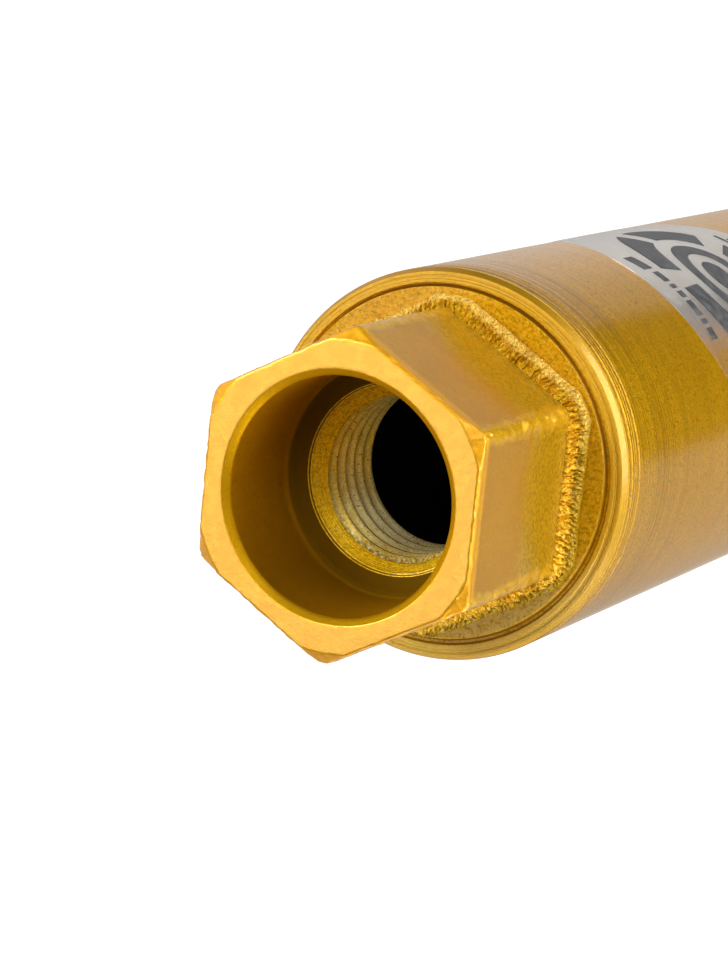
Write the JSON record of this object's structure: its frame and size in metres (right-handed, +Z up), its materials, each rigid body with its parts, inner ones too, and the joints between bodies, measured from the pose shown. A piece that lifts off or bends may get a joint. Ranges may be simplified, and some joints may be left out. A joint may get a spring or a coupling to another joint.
{
  "type": "diamond core bit",
  "caption": "Thin-walled steel core bit with a hexagonal hub bored and threaded for a drill spindle, a welded end plate, and sintered diamond segments around its open crown.",
  "frame": {"origin": "on the bit's axis, in the plane of the crown's cutting face that it stands on", "axes": "+Z up the bit's axis from the crown to the hub, +X through the middle of one flat of the hexagon"},
  "size_m": [0.0507, 0.051, 0.3978],
  "materials": {
    "hub_lacquer": "gold metallic lacquer over turned steel",
    "weld_lacquer": "gold metallic lacquer over turned steel",
    "plate_lacquer": "gold metallic lacquer over turned steel",
    "barrel_lacquer": "gold metallic lacquer over turned steel",
    "label_film": "clear glossy film with grey print",
    "silver_solder": "dull silver solder",
    "diamond_matrix": "rough sintered metal with diamond grit"
  },
  "bodies": {
    "root": {"hub": "hub_lacquer", "hub_weld": "weld_lacquer", "end_plate": "plate_lacquer", "barrel_seam_weld": "plate_lacquer", "barrel": "barrel_lacquer", "label": "label_film", "braze_joint_1": "silver_solder", "segment_1": "diamond_matrix", "braze_joint_2": "silver_solder", "segment_2": "diamond_matrix", "braze_joint_3": "silver_solder", "segment_3": "diamond_matrix", "braze_joint_4": "silver_solder", "segment_4": "diamond_matrix", "braze_joint_5": "silver_solder", "segment_5": "diamond_matrix"}
  },
  "joints": []
}
